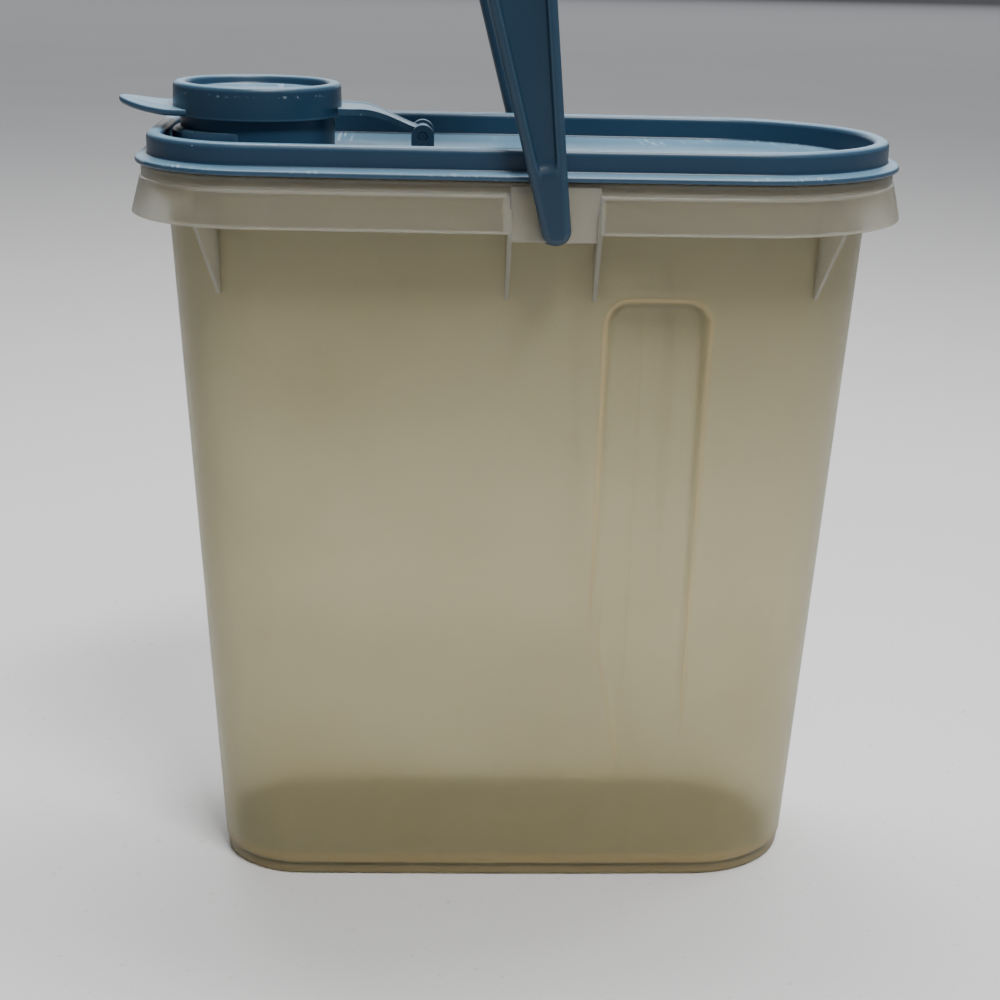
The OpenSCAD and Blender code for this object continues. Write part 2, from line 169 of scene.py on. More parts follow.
def finish_mesh(name, verts, faces, bend=32):
    """Closed mesh object with outward normals, soft shading and a proud-edge attribute for wear and painted
    edge highlights.
    """
    mesh = bpy.data.meshes.new(name)
    mesh.from_pydata([tuple(v) for v in verts], [], [tuple(f) for f in faces])
    tidy = bmesh.new()
    tidy.from_mesh(mesh)
    bmesh.ops.remove_doubles(tidy, verts=tidy.verts, dist=0.00001)
    bmesh.ops.dissolve_degenerate(tidy, edges=tidy.edges, dist=0.000005)
    bmesh.ops.recalc_face_normals(tidy, faces=tidy.faces)
    tidy.to_mesh(mesh)
    tidy.free()
    piece = bpy.data.objects.new(name, mesh)
    bpy.context.scene.collection.objects.link(piece)
    mesh.shade_smooth()
    mesh.set_sharp_from_angle(angle=math.radians(bend))
    mark_proud_edges(mesh)
    return piece


def mark_proud_edges(mesh):
    """Store how sharply each vertex stands proud: where the blue parts wear first, and where the clear
    plastics take their edge tint and painted edge highlight.
    """
    count = len(mesh.vertices)
    place = np.empty(count * 3)
    normal = np.empty(count * 3)
    edges = np.empty(len(mesh.edges) * 2, dtype=int)
    mesh.vertices.foreach_get("co", place)
    mesh.vertex_normals.foreach_get("vector", normal)
    mesh.edges.foreach_get("vertices", edges)
    place, normal, edges = place.reshape(-1, 3), normal.reshape(-1, 3), edges.reshape(-1, 2)
    bend = np.zeros(count)
    for a, b in ((0, 1), (1, 0)):
        start, end = edges[:, a], edges[:, b]
        step = place[end] - place[start]
        square = np.maximum((step ** 2).sum(1), 1e-9)
        np.maximum.at(bend, start, -2 * (normal[start] * step).sum(1) / square)
    layer = mesh.attributes.new("proud_edge", "FLOAT", "POINT")
    layer.data.foreach_set("value", np.clip(bend / 700, 0, 1).astype(np.float32))


def fit_piece(piece, body, slot, material, *replaced):
    """Give a piece its finish and say which body it rides on."""
    piece.data.materials.clear()
    piece.data.materials.append(material)
    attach(piece, body)
    if replaced:
        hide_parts(*replaced)


class Value:
    """A shader socket that takes part in ordinary arithmetic by adding Math nodes."""

    def __init__(self, tree, socket):
        self.tree, self.socket = tree, socket

    def math(self, operation, *values):
        return self.tree.node("ShaderNodeMath", {"operation": operation}, *values)

    def __add__(self, other): return self.math("ADD", self, other)
    def __radd__(self, other): return self.math("ADD", other, self)
    def __sub__(self, other): return self.math("SUBTRACT", self, other)
    def __rsub__(self, other): return self.math("SUBTRACT", other, self)
    def __mul__(self, other): return self.math("MULTIPLY", self, other)
    def __rmul__(self, other): return self.math("MULTIPLY", other, self)
    def __truediv__(self, other): return self.math("DIVIDE", self, other)

    def clamp(self):
        return self.tree.node("ShaderNodeClamp", {}, self)

    def ramp(self, low, high):
        """0 at low, 1 at high, smooth between."""
        return self.tree.node("ShaderNodeMapRange", {"interpolation_type": "SMOOTHSTEP"}, self, low, high)


class Shader:
    """A material's node tree, with one method that adds any node."""

    def __init__(self, name):
        self.material = bpy.data.materials.new(name)
        self.material.use_nodes = True
        self.nodes = self.material.node_tree.nodes
        self.links = self.material.node_tree.links
        self.nodes.clear()

    def node(self, kind, settings, *values, out=0, **named):
        made = self.nodes.new(kind)
        for key, setting in settings.items():
            setattr(made, key, setting)
        sockets = list(zip([s for s in made.inputs if s.enabled], values))
        sockets += [(made.inputs[key.replace("_", " ")], value) for key, value in named.items()]
        for socket, value in sockets:
            if isinstance(value, Value):
                self.links.new(value.socket, socket)
            elif value is not None:
                socket.default_value = value
        wanted = made.outputs[out] if isinstance(out, str) else [s for s in made.outputs if s.enabled][out]
        return Value(self, wanted)

    def place(self, scale=(1, 1, 1), turn=(0, 0, 0)):
        """Object coordinates, stretched by scale and turned."""
        spot = self.node("ShaderNodeTexCoord", {}, out="Object")
        return self.node("ShaderNodeMapping", {}, spot, (0, 0, 0), turn, scale)

    def noise(self, scale, detail, rough, at=None):
        return self.node("ShaderNodeTexNoise", {}, Vector=at or self.place(), Scale=scale, Detail=detail,
                         Roughness=rough)

    def height(self):
        return self.node("ShaderNodeSeparateXYZ", {}, self.place(), out="Z")

    def blend(self, share, a, b):
        """Colour a turning into colour b as share goes from 0 to 1."""
        mix = self.nodes.new("ShaderNodeMix")
        mix.data_type = "RGBA"
        for socket, value in ((mix.inputs[0], share), (mix.inputs[6], a), (mix.inputs[7], b)):
            if isinstance(value, Value):
                self.links.new(value.socket, socket)
            else:
                socket.default_value = value
        return Value(self, mix.outputs[2])

    def bump(self, height, strength, distance, under=None):
        named = {"Normal": under} if under else {}
        return self.node("ShaderNodeBump", {}, Height=height, Strength=strength, Distance=distance, **named)

    def output(self, surface):
        end = self.nodes.new("ShaderNodeOutputMaterial")
        self.links.new(surface.socket, end.inputs["Surface"])
        return self.material


def natural_plastic(name, clean, stained, haze, clear, grain, gloss=0.32, edge=0.5,
                    edge_color=(0.62, 0.45, 0.20, 1), top_shade_color=(0.40, 0.37, 0.26, 1)):
    """Aged see-through plastic: stain patches, drag lines from moulding, a fine pebbled skin, painted shade
    towards the top and a tint along proud edges.
    """
    shader = Shader(name)
    patch = shader.noise(11, 4, 0.6).ramp(0.40, 0.75)
    speck = shader.noise(160, 2, 0.5).ramp(0.64, 0.80)
    drag = shader.noise(60, 2, 0.5, at=shader.place(scale=(1, 1, 0.06)))
    low = 1 - shader.height() / RIM_Z
    proud = shader.node("ShaderNodeAttribute", {"attribute_name": "proud_edge"}, out="Fac").ramp(0.02, 0.30)
    # Besides the patches and specks, this share also grows towards the bottom, so the colour turns darker and
    # yellower low down.
    stain = (patch * 0.30 + speck * 0.12 + low * 0.14).clamp()
    # Painted shade: higher up, both the body colour and the see-through colour turn towards the top colour,
    # standing for the shade the lid casts into the container.
    shade = (1 - low).ramp(0.30, 0.98) * 0.62
    color = shader.blend(shade, shader.blend(stain, clean, stained), top_shade_color)
    # Proud edges take the edge colour: amber on the body, and on the skirt a near-white painted highlight
    # along its edges.
    color = shader.blend(proud * edge, color, edge_color)
    glow = shader.blend(shade, shader.blend(stain, haze, clean), top_shade_color)
    pebble = shader.noise(1300, 2, 0.5)
    wave = shader.noise(38, 2, 0.5)
    skin = shader.bump(pebble, grain, 0.0002)
    skin = shader.bump(wave * 0.6 + drag * 0.4, 0.25, 0.0009, under=skin)
    rough = gloss + 0.10 * drag + 0.06 * patch
    body = shader.node("ShaderNodeBsdfPrincipled", {}, Base_Color=color, Roughness=rough, IOR=1.49,
                       Normal=skin, Specular_IOR_Level=0.45, Subsurface_Weight=0.8,
                       Subsurface_Radius=(1.0, 0.9, 0.7), Subsurface_Scale=0.004)
    soft = shader.node("ShaderNodeBsdfPrincipled", {}, Base_Color=glow, Roughness=0.34, IOR=1.12,
                       Normal=skin, Transmission_Weight=1.0, Specular_IOR_Level=0.3)
    through = clear - 0.06 * patch - 0.25 * edge * proud
    return shader.output(shader.node("ShaderNodeMixShader", {}, through, body, soft))


container_plastic = natural_plastic(
    "aged_container_plastic", clean=(0.55, 0.51, 0.33, 1), stained=(0.47, 0.40, 0.22, 1),
    haze=(0.93, 0.90, 0.74, 1), clear=0.72, grain=0.3)

foot_r = 1.6 * MM
outer_rows = []
for i in range(6):
    a = math.radians(18 * i)
    inset = FOOT_INSET + foot_r * (1 - math.sin(a))
    outer_rows.append(ring(outline(inset=inset, shares=SIDE_FINE, **BASE), foot_r * (1 - math.cos(a))))
outer_rows.append(ring(outline(inset=FOOT_INSET, shares=SIDE_FINE, **BASE), FOOT_H - 0.3 * MM))
outer_rows.append(ring(outline(inset=FOOT_INSET * 0.8, shares=SIDE_FINE, **BASE), FOOT_H))
outer_rows.append(ring(outline(inset=FOOT_INSET * 0.15, shares=SIDE_FINE, **BASE), FOOT_H + FOOT_INSET * 0.8))
wall_heights = ([FOOT_H + FOOT_INSET + 0.3 * MM] + [z * MM for z in range(9, 186, 4)]
                + [186 * MM + i * 0.8 * MM for i in range(24)] + [208 * MM, 212 * MM, 217 * MM, SKIRT_Z])
outer_rows += [wall_ring(z, 0) for z in wall_heights]


def flare_rings(extra):
    """The short widening from the wall to the rim."""
    a = outline(inset=extra, shares=SIDE_FINE, **NECK)
    b = outline(inset=RIM_INSET + extra, shares=SIDE_FINE, **FLANGE)
    rows = []
    for i in range(1, 8):
        s = i / 7
        rows.append(ring(a + (b - a) * (s * s * (3 - 2 * s)), SKIRT_Z + (FLARE_Z - SKIRT_Z) * s))
    return rows


outer_rows += flare_rings(0)
for i in range(6):
    a = math.radians(36 * i)
    inset = RIM_INSET + RIM_T / 2 - RIM_T / 2 * math.cos(a)
    outer_rows.append(ring(outline(inset=inset, shares=SIDE_FINE, **FLANGE),
                           RIM_Z - RIM_T / 2 + RIM_T / 2 * math.sin(a)))
inner_rows = flare_rings(RIM_T + 0.1 * MM)[::-1]
inner_rows += [wall_ring(z, WALL_T, WALL_T) for z in reversed(wall_heights)]
floor_r = 4 * MM
for i in range(1, 7):
    a = math.radians(15 * i)
    inset = WALL_T + floor_r * (1 - math.cos(a))
    inner_rows.append(ring(outline(inset=inset, shares=SIDE_FINE, **BASE),
                           BASE_T + floor_r * (1 - math.sin(a))))
rows = outer_rows + inner_rows
per_row = len(rows[0])
faces = skin_faces(len(rows), per_row)
faces.append(tuple(range(per_row)))
faces.append(tuple((len(rows) - 1) * per_row + i for i in range(per_row)))
shell = finish_mesh("container_shell", np.vstack(rows), faces, bend=60)
fit_piece(shell, "container", "natural_plastic", container_plastic, "container")

# ---------------------------------------------------------------------------
# Rim skirt. A thin flared apron moulded out from under the rim, clearer than
# the body because it is thin. It breaks on both wide sides, where a flat pad
# takes the handle's pin, and thin ribs and fins brace it from below.
# ---------------------------------------------------------------------------
PIVOT_X = 7.3 * MM
PIVOT_Z = RIM_Z - 21 * MM
NOTCH_HALF_W = 13.35 * MM
PAD_OUT = FLANGE_HALF_W - 1 * MM
PAD_T = 1.8 * MM
PAD_LOW = PIVOT_Z - 4.3 * MM
PIN_HOLE_R = 2.56 * MM
RIB_TAIL = 22 * MM
RIB_T = 1.4 * MM


def rounded(points, radii, steps=5):
    """Corner points of a closed profile turned into arcs of the given radii."""
    made = []
    count = len(points)
    for i in range(count):
        here, before, after = (np.array(points[k], float) for k in (i, i - 1, (i + 1) % count))
        r = radii[i]
        if r <= 0:
            made.append(here)
            continue
        u, v = before - here, after - here
        lu, lv = np.linalg.norm(u), np.linalg.norm(v)
        u, v = u / lu, v / lv
        half = math.acos(max(-1, min(1, float(u @ v)))) / 2
        cut = min(r / math.tan(half), lu * 0.48, lv * 0.48)
        r = cut * math.tan(half)
        centre = here + (u + v) / np.linalg.norm(u + v) * r / math.sin(half)
        start, end = here + u * cut - centre, here + v * cut - centre
        for k in range(steps + 1):
            s = k / steps
            angle = math.pi - 2 * half
            w = (math.sin((1 - s) * angle) * start + math.sin(s * angle) * end) / math.sin(angle)
            made.append(centre + w)
    return np.array(made)


def eased(profile, gap=0.7, closed=True):
    """Profile with extra points just off each corner, so worn edges and painted edge highlights stay narrow.
    """
    made = []
    last = len(profile) if closed else len(profile) - 1
    for i in range(last):
        a, b = profile[i], profile[(i + 1) % len(profile)]
        made.append(a)
        length = float(np.linalg.norm(b - a))
        if length > 2.2 * gap:
            made += [a + (b - a) * gap / length, b - (b - a) * gap / length]
    if not closed:
        made.append(profile[-1])
    return np.array(made)


def swept_band(profile, z0, keep=None):
    """Profile of (inset, height) points carried round the flange's outline, closed or one stretch."""
    rows = [ring(outline(inset=d, **FLANGE), z0 + h) for d, h in profile]
    if keep is not None:
        rows = [keep(row) for row in rows]
    count = len(rows[0])
    faces = skin_faces(len(rows), count, closed=keep is None, loop=True)
    if keep is not None:
        faces.append(tuple(k * count for k in range(len(rows))))
        faces.append(tuple(k * count + count - 1 for k in range(len(rows))))
    return np.vstack(rows), faces


def stretch(sign):
    """Keeps the part of a ring on one side of the pads, cut square at the pad's edge."""
    edge = PIVOT_X + sign * NOTCH_HALF_W

    def keep(row):
        inside = (row[:, 0] - edge) * sign > 1e-6
        order = np.arange(len(row))
        start = next(i for i in order if inside[i] and not inside[i - 1])
        run = [(start + k) % len(row) for k in range(int(inside.sum()))]
        ends = []
        for a, b in ((run[0], run[0] - 1), (run[-1], (run[-1] + 1) % len(row))):
            s = (edge - row[a, 0]) / (row[b, 0] - row[a, 0])
            ends.append(row[a] + (row[b] - row[a]) * s)
        return np.vstack([ends[0], row[run], ends[1]])

    return keep


# The skirt's near-white edge colour is a painted highlight along its proud edges, above all its lower edge.
skirt_plastic = natural_plastic(
    "clear_skirt_plastic", clean=(0.46, 0.46, 0.42, 1), stained=(0.44, 0.42, 0.34, 1),
    haze=(0.94, 0.94, 0.88, 1), clear=0.80, grain=0.08, gloss=0.15, edge=0.35,
    edge_color=(0.92, 0.89, 0.80, 1), top_shade_color=(0.50, 0.48, 0.40, 1))

neck_profile = eased(rounded(
    [(6.3, -0.3), (1.7, -0.3), (1.7, -4.2), (2.9, -4.2), (2.9, -1.8), (6.3, -1.8)],
    [0, 0.7, 0.4, 0.4, 0.5, 0], 4)) * MM
neck = finish_mesh("neck_band", *swept_band(neck_profile, LID_Z))
fit_piece(neck, "container", "natural_plastic", skirt_plastic, "container")

skirt_profile = eased(rounded(
    [(2.6, -3.2), (1.25, -4.3), (-1.5, -15.3), (-0.45, -15.3), (2.5, -4.6)],
    [0.2, 0.5, 0.35, 0.35, 0.3], 4)) * MM
for sign, name in ((1, "skirt_plain_end"), (-1, "skirt_spout_end")):
    skirt = finish_mesh(name, *swept_band(skirt_profile, LID_Z, keep=stretch(sign)))
    fit_piece(skirt, "container", "natural_plastic", skirt_plastic, "container")


def holed_plate(name, edge, hole_at, hole_r, y0, y1, steps=40):
    """Flat plate standing in X and Z between two depths, with a round hole and softened edges."""
    made = bmesh.new()
    loops = [edge, [(hole_at[0] + hole_r * math.cos(2 * math.pi * i / steps),
                     hole_at[1] + hole_r * math.sin(2 * math.pi * i / steps)) for i in range(steps)]]
    rims = []
    for loop in loops:
        verts = [made.verts.new((x, y0, z)) for x, z in loop]
        rims += [made.edges.new((verts[i - 1], verts[i])) for i in range(len(verts))]
    flat = bmesh.ops.triangle_fill(made, use_beauty=True, edges=rims)["geom"]
    flat = [f for f in flat if isinstance(f, bmesh.types.BMFace)]
    raised = bmesh.ops.extrude_face_region(made, geom=flat)["geom"]
    raised = [v for v in raised if isinstance(v, bmesh.types.BMVert)]
    bmesh.ops.translate(made, vec=(0, y1 - y0, 0), verts=raised)
    bmesh.ops.recalc_face_normals(made, faces=made.faces)
    rim_edges = [e for e in made.edges if len(e.link_faces) == 2 and e.calc_face_angle() > 1.0]
    bmesh.ops.bevel(made, geom=rim_edges, offset=0.00022, segments=2, profile=0.5, affect="EDGES")
    verts = [v.co.copy() for v in made.verts]
    index = {v: i for i, v in enumerate(made.verts)}
    faces = [[index[v] for v in f.verts] for f in made.faces]
    made.free()
    return finish_mesh(name, verts, faces, bend=40)


def mirrored(piece, name):
    """Copy of a piece on the other wide side."""
    return finish_mesh(name, [(v.co.x, -v.co.y, v.co.z) for v in piece.data.vertices],
                       [tuple(p.vertices) for p in piece.data.polygons], bend=40)


pad_edge = rounded(
    [(PIVOT_X - NOTCH_HALF_W, PAD_LOW), (PIVOT_X + NOTCH_HALF_W, PAD_LOW),
     (PIVOT_X + NOTCH_HALF_W, LID_Z - 1.5 * MM), (PIVOT_X - NOTCH_HALF_W, LID_Z - 1.5 * MM)],
    [0.5 * MM, 0.5 * MM, 0, 0], 3)
pad = holed_plate("pivot_pad_front", pad_edge, (PIVOT_X, PIVOT_Z), PIN_HOLE_R, -PAD_OUT, -PAD_OUT + PAD_T)
fit_piece(pad, "container", "natural_plastic", skirt_plastic, "container")
fit_piece(mirrored(pad, "pivot_pad_back"), "container", "natural_plastic", skirt_plastic, "container")


def rib_tree():
    """Geometry Nodes tree that stands one tapering rib on every point, turned by the point's own angle."""
    tree = bpy.data.node_groups.new("bracing_ribs", "GeometryNodeTree")
    face = tree.interface
    face.new_socket("Geometry", in_out="INPUT", socket_type="NodeSocketGeometry")
    for label, value in (("Thickness", RIB_T), ("Tail Height", SKIRT_Z - RIB_TAIL),
                         ("Lip Height", SKIRT_Z + 0.8 * MM), ("Top Height", LID_Z - 4.5 * MM),
                         ("Root Share", 0.1), ("Top Share", 0.74)):
        face.new_socket(label, in_out="INPUT", socket_type="NodeSocketFloat").default_value = value
    face.new_socket("Material", in_out="INPUT", socket_type="NodeSocketMaterial")
    face.new_socket("Geometry", in_out="OUTPUT", socket_type="NodeSocketGeometry")

    def add(kind, **settings):
        made = tree.nodes.new(kind)
        for key, value in settings.items():
            setattr(made, key, value)
        return made

    join = tree.links.new
    given, result = add("NodeGroupInput"), add("NodeGroupOutput")
    root = add("ShaderNodeMath", operation="MULTIPLY")
    root.inputs[1].default_value = -1
    join(given.outputs["Root Share"], root.inputs[0])
    root = root.outputs[0]

    def panel(corners):
        """Flat four-cornered panel; each corner is a share of the reach and a named height."""
        quad = add("GeometryNodeCurvePrimitiveQuadrilateral", mode="POINTS")
        for i, (share, height) in enumerate(corners):
            spot = add("ShaderNodeCombineXYZ")
            if isinstance(share, float):
                spot.inputs["X"].default_value = share
            else:
                join(share, spot.inputs["X"])
            join(given.outputs[height], spot.inputs["Y"])
            join(spot.outputs[0], quad.inputs[f"Point {i + 1}"])
        fill = add("GeometryNodeFillCurve", mode="NGONS")
        join(quad.outputs[0], fill.inputs["Curve"])
        return fill.outputs[0]

    panels = add("GeometryNodeJoinGeometry")
    join(panel([(root, "Tail Height"), (0.0, "Tail Height"), (1.0, "Lip Height"), (root, "Lip Height")]),
         panels.inputs[0])
    join(panel([(root, "Lip Height"), (1.0, "Lip Height"), (given.outputs["Top Share"], "Top Height"),
                (root, "Top Height")]), panels.inputs[0])
    merge = add("GeometryNodeMergeByDistance")
    merge.inputs["Distance"].default_value = 0.01 * MM
    join(panels.outputs[0], merge.inputs["Geometry"])
    thick = add("GeometryNodeExtrudeMesh", mode="FACES")
    thick.inputs["Individual"].default_value = False
    join(merge.outputs[0], thick.inputs["Mesh"])
    join(given.outputs["Thickness"], thick.inputs["Offset Scale"])
    flip = add("GeometryNodeFlipFaces")
    join(merge.outputs[0], flip.inputs["Mesh"])
    closed = add("GeometryNodeJoinGeometry")
    join(thick.outputs["Mesh"], closed.inputs[0])
    join(flip.outputs[0], closed.inputs[0])
    weld = add("GeometryNodeMergeByDistance")
    weld.inputs["Distance"].default_value = 0.01 * MM
    join(closed.outputs[0], weld.inputs["Geometry"])
    half = add("ShaderNodeMath", operation="MULTIPLY")
    half.inputs[1].default_value = 0.5
    join(given.outputs["Thickness"], half.inputs[0])
    shift = add("ShaderNodeCombineXYZ")
    join(half.outputs[0], shift.inputs["Y"])
    stand = add("GeometryNodeTransform")
    stand.inputs["Rotation"].default_value = (math.radians(90), 0, 0)
    join(weld.outputs[0], stand.inputs["Geometry"])
    join(shift.outputs[0], stand.inputs["Translation"])
    dots = add("GeometryNodeMeshToPoints")
    join(given.outputs["Geometry"], dots.inputs["Mesh"])
    copies = add("GeometryNodeInstanceOnPoints")
    join(dots.outputs[0], copies.inputs["Points"])
    join(stand.outputs[0], copies.inputs["Instance"])
    for name, axis, socket in (("turn", "Z", "Rotation"), ("reach", "X", "Scale")):
        stored = add("GeometryNodeInputNamedAttribute", data_type="FLOAT")
        stored.inputs["Name"].default_value = name
        vector = add("ShaderNodeCombineXYZ")
        if socket == "Scale":
            vector.inputs["Y"].default_value = vector.inputs["Z"].default_value = 1
        join(stored.outputs["Attribute"], vector.inputs[axis])
        join(vector.outputs[0], copies.inputs[socket])
    real = add("GeometryNodeRealizeInstances")
    join(copies.outputs[0], real.inputs[0])
    paint = add("GeometryNodeSetMaterial")
    join(real.outputs[0], paint.inputs["Geometry"])
    join(given.outputs["Material"], paint.inputs["Material"])
    join(paint.outputs[0], result.inputs[0])
    return tree


def made_by_nodes(name, points, tree, material, edge):
    """Run a tree on (place, attributes) points, round its edges and keep the result as a plain mesh."""
    seed = bpy.data.meshes.new(name + "_points")
    seed.from_pydata([place for place, _ in points], [], [])
    for key in points[0][1]:
        layer = seed.attributes.new(key, "FLOAT", "POINT")
        layer.data.foreach_set("value", [extra[key] for _, extra in points])
    holder = bpy.data.objects.new(name + "_points", seed)
    bpy.context.scene.collection.objects.link(holder)
    grow = holder.modifiers.new("shape", "NODES")
    grow.node_group = tree
    paint = next(i for i in tree.interface.items_tree if i.name == "Material" and i.in_out == "INPUT")
    grow[paint.identifier] = material
    soften = holder.modifiers.new("edge", "BEVEL")
    soften.width, soften.segments, soften.limit_method = edge, 2, "ANGLE"
    grown = bpy.data.meshes.new_from_object(holder.evaluated_get(bpy.context.evaluated_depsgraph_get()))
    verts = [v.co.copy() for v in grown.vertices]
    faces = [tuple(p.vertices) for p in grown.polygons]
    bpy.data.objects.remove(holder)
    return finish_mesh(name, verts, faces, bend=30)


PAD_RIB_ROOT = 46.4 * MM
PAD_RIB_REACH = 12 * MM
# Corner fins: centre of the corner (x, y), its radius, the fin's angle and its reach, in mm and degrees.
CORNER_FINS = ((66.8, 1, 43.7, 58, 11.6), (-78.8, 13, 31.9, 117, 12.8))
rib_points = []
for side in (-1, 1):
    for edge in (-1, 1):
        place = (PIVOT_X + edge * NOTCH_HALF_W, side * PAD_RIB_ROOT, 0)
        rib_points.append((place, {"turn": side * math.radians(90), "reach": PAD_RIB_REACH}))
    for x, y, r, angle, reach in CORNER_FINS:
        a = math.radians(angle)
        place = ((x + r * math.cos(a)) * MM, side * (y + r * math.sin(a)) * MM, 0)
        rib_points.append((place, {"turn": side * a, "reach": reach * MM}))
ribs = made_by_nodes("bracing_ribs", rib_points, rib_tree(), skirt_plastic, edge=0.25 * MM)
fit_piece(ribs, "container", "natural_plastic", skirt_plastic, "container")

# ---------------------------------------------------------------------------
# Lid. One blue moulding pressed down over the rim: an outward flange, a raised
# hollow ring that grips the rim, and a sunken flat floor. Handling has dulled
# its proud edges and left fine scratches and small pale nicks.
# ---------------------------------------------------------------------------
RING_H = 9 * MM
RING_TOP = LID_Z + RING_H
FLOOR_T = 1.6 * MM
TRAY_Z = LID_Z + FLOOR_T
SPOUT_X = -84 * MM
SPOUT_R = 21.7 * MM
COLLAR_T = 2.6 * MM
COLLAR_R = SPOUT_R + COLLAR_T
COLLAR_TOP = RING_TOP + 8.4 * MM
# Lighter blue painted on upward-facing surfaces, standing for light falling on the tops.
PAINTED_TOP_LIGHT_BLUE = (0.125, 0.240, 0.345, 1)
SCRATCH_BLUE = (0.40, 0.49, 0.55, 1)


def blue_plastic(name, deep, worn, scratch_turn=0.6, scuffed=(0, 0)):
    """Moulded blue polypropylene: painted light on upward-facing tops, dulled proud edges, hairline scratches
    and pale nicks.
    """
    shader = Shader(name)
    proud_edge = shader.node("ShaderNodeAttribute", {"attribute_name": "proud_edge"}, out="Fac")
    mottle = shader.noise(26, 4, 0.55)
    dust = shader.noise(420, 3, 0.6)
    color = shader.blend((mottle - 0.3).clamp() * 0.6, deep, tuple(c * 1.25 for c in deep[:3]) + (1,))
    # Painted light: upward-facing surfaces turn towards a lighter blue, standing for light falling on the
    # tops from above.
    facing = shader.node("ShaderNodeTexCoord", {}, out="Normal")
    upward = shader.node("ShaderNodeSeparateXYZ", {}, facing, out="Z")
    color = shader.blend(upward.ramp(0.55, 1.0) * (0.62 + 0.4 * mottle), color, PAINTED_TOP_LIGHT_BLUE)
    hair = shader.noise(90, 1, 0.4, at=shader.place(scale=(9, 0.5, 7), turn=(0, 0, scratch_turn)))
    low, high = scuffed
    level = shader.height()
    flat = (level - low).ramp(0, 0.1 * MM) * (high - level).ramp(0, 0.1 * MM)
    hair = hair.ramp(0.56, 0.66) * shader.noise(26, 1, 0.5).ramp(0.46, 0.60) * flat
    nick = shader.noise(380, 2, 0.7).ramp(0.72, 0.76) * proud_edge.ramp(0.25, 0.8)
    rubbed = (proud_edge.ramp(0.2, 1.0) * (0.25 + 0.5 * dust)).clamp()
    color = shader.blend(rubbed * 0.4, color, worn)
    color = shader.blend((hair * 0.30 + nick * 0.6).clamp(), color, SCRATCH_BLUE)
    rough = (0.25 + 0.10 * mottle + 0.12 * rubbed + 0.25 * hair + 0.06 * dust).clamp()
    skin = shader.bump(shader.noise(900, 2, 0.5), 0.10, 0.0002)
    skin = shader.bump(shader.noise(45, 2, 0.5), 0.12, 0.0009, under=skin)
    skin = shader.bump(hair * 0.5 + nick, -0.25, 0.0003, under=skin)
    body = shader.node("ShaderNodeBsdfPrincipled", {}, Base_Color=color, Roughness=rough, IOR=1.49,
                       Specular_IOR_Level=0.4, Normal=skin)
    return shader.output(body)


lid_plastic = blue_plastic("blue_lid_plastic", deep=(0.012, 0.038, 0.074, 1), worn=(0.08, 0.16, 0.24, 1),
                           scuffed=(TRAY_Z - 0.5 * MM, TRAY_Z + 0.5 * MM))

lid_profile = eased(rounded(
    [(0, 0), (0, 1.5), (3.6, 2.5), (3.6, 9.0), (8.4, 9.0), (8.4, 1.6), (13, 1.6), (13, 0), (8.4, 0),
     (8.4, -2.5), (7.1, -2.5), (7.1, 7.7), (4.9, 7.7), (4.9, 0)],
    [0.5, 0.7, 0.7, 1.5, 1.5, 0.8, 0, 0, 0.5, 0.4, 0.4, 0.5, 0.5, 0.3]), 0.75) * MM
LID_SHARES = spread(0, 1, 60)
FLOOR_EDGE = 12.99 * MM
HOLE_R = SPOUT_R + 1 * MM
HOLE_STEPS = 96


def lid_mesh():
    """Ring and flange carried round the outline, with the floor filled in around the spout's hole."""
    rings = [ring(outline(inset=d, shares=LID_SHARES, **FLANGE), LID_Z + h) for d, h in lid_profile]
    count = len(rings[0])
    made = bmesh.new()
    rows = [[made.verts.new(p) for p in row] for row in rings]
    edge_rows = [i for i, (d, _) in enumerate(lid_profile) if d > FLOOR_EDGE]
    for k in range(len(rows)):
        a, b = rows[k], rows[(k + 1) % len(rows)]
        if k in edge_rows and (k + 1) in edge_rows:
            continue
        for i in range(count):
            j = (i + 1) % count
            made.faces.new((a[i], a[j], b[j], b[i]))
    hole = []
    for k, z in zip(edge_rows, (TRAY_Z, LID_Z)):
        circle = []
        for i in range(HOLE_STEPS):
            a = 2 * math.pi * i / HOLE_STEPS
            circle.append(made.verts.new((SPOUT_X + HOLE_R * math.cos(a), HOLE_R * math.sin(a), z)))
        hole.append(circle)
        rims = [made.edges.new((circle[i - 1], circle[i])) for i in range(HOLE_STEPS)]
        rims += [made.edges.get((rows[k][i - 1], rows[k][i])) for i in range(count)]
        bmesh.ops.triangle_fill(made, use_beauty=True, edges=rims, normal=(0, 0, 1))
    for i in range(HOLE_STEPS):
        made.faces.new((hole[0][i - 1], hole[0][i], hole[1][i], hole[1][i - 1]))
    made.verts.index_update()
    verts = [v.co.copy() for v in made.verts]
    faces = [[v.index for v in f.verts] for f in made.faces]
    made.free()
    return verts, faces


lid = finish_mesh("lid_pan", *lid_mesh(), bend=50)
fit_piece(lid, "lid", "blue_plastic", lid_plastic, "lid")

# ---------------------------------------------------------------------------
# Spout collar. A short round tube moulded up from the lid's floor near its
# squarer end, with a thicker lip on the pouring side.
# ---------------------------------------------------------------------------


def lathe(profile, centre, steps=96):
    """Closed (radius, height) profile turned round an upright axis."""
    rows = []
    for i in range(steps):
        a = 2 * math.pi * i / steps
        for r, h in profile:
            rows.append((centre[0] + r * math.cos(a), centre[1] + r * math.sin(a), centre[2] + h))
    count = len(profile)
    faces = []
    for i in range(steps):
        j = (i + 1) % steps
        for k in range(count):
            m = (k + 1) % count
            faces.append((i * count + k, j * count + k, j * count + m, i * count + m))
    return rows, faces


